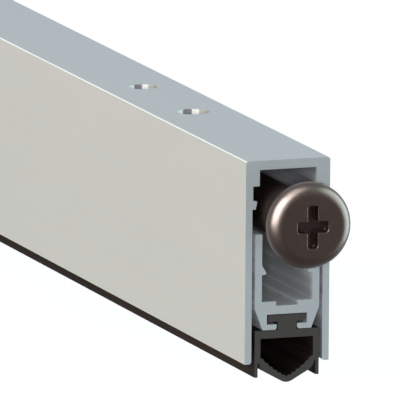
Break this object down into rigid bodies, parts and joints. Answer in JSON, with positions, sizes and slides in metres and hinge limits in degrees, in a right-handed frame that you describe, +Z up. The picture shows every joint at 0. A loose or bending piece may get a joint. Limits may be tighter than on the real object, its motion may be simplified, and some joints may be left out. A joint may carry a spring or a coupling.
{
  "type": "automatic door bottom seal",
  "caption": "Aluminium channel for the bottom of a door, with a sprung end button that drops an inner carrier and rubber gasket onto the floor.",
  "frame": {"origin": "middle of the casing's flat top face", "axes": "+X along the seal towards the button, +Y across it, +Z up out of the top face"},
  "size_m": [0.3407, 0.013, 0.0329],
  "materials": {
    "anodised_aluminium": "satin anodised with fine lengthwise die lines",
    "mill_aluminium": "plain extruded",
    "black_rubber": "matt extruded",
    "brown_button": "satin moulded",
    "brass": "turned",
    "spring_steel": "oiled",
    "rod_steel": "drawn and zinc plated",
    "grey_acetal": "moulded",
    "die_cast_zinc": "as cast"
  },
  "bodies": {
    "casing": {"casing": "anodised_aluminium", "spring_abutment": "die_cast_zinc", "guide_post": "die_cast_zinc", "casing_grub_screws": "spring_steel", "return_spring": "spring_steel"},
    "push_rod": {"front_push_rod": "rod_steel", "link_rod": "rod_steel", "front_cam_slider": "grey_acetal", "rear_cam_slider": "grey_acetal", "rod_spring_pins": "spring_steel", "spring_collar": "rod_steel", "collar_retaining_ring": "spring_steel", "rod_lock_nut": "rod_steel"},
    "adjuster": {"adjuster_guide": "grey_acetal"},
    "button": {"plunger_button": "brown_button", "threaded_insert": "brass", "guide_retaining_ring": "spring_steel"},
    "carrier": {"carrier": "mill_aluminium", "gasket": "black_rubber", "front_carrier_shoe": "die_cast_zinc", "rear_carrier_shoe": "die_cast_zinc", "guide_fork": "die_cast_zinc", "front_shoe_pin": "rod_steel", "rear_shoe_pin": "rod_steel", "carrier_grub_screws": "spring_steel"}
  },
  "joints": [
    {"name": "press", "type": "slide", "parent": "casing", "child": "push_rod", "axis": [-1, 0, 0], "range_m": [0, 0.007], "stiffness_N_per_m": 1500, "springref_m": -0.005, "deforming": ["return_spring"]},
    {"name": "drop", "type": "slide", "parent": "casing", "child": "carrier", "axis": [0, 0, -1], "range_m": [0, 0.012]},
    {"name": "adjust_slide", "type": "slide", "parent": "push_rod", "child": "adjuster", "axis": [1, 0, 0], "range_m": [0, 0.0028]},
    {"name": "adjust_turn", "type": "hinge", "parent": "adjuster", "child": "button", "pos_m": [0.165, 0, -0.00819], "axis": [1, 0, 0], "range_deg": [0, 1440]}
  ],
  "couplings": [
    {"joint": "drop", "follows": "press", "ratio": 1.7143},
    {"joint": "adjust_turn", "follows": "adjust_slide", "rad_per_m": 8976}
  ]
}
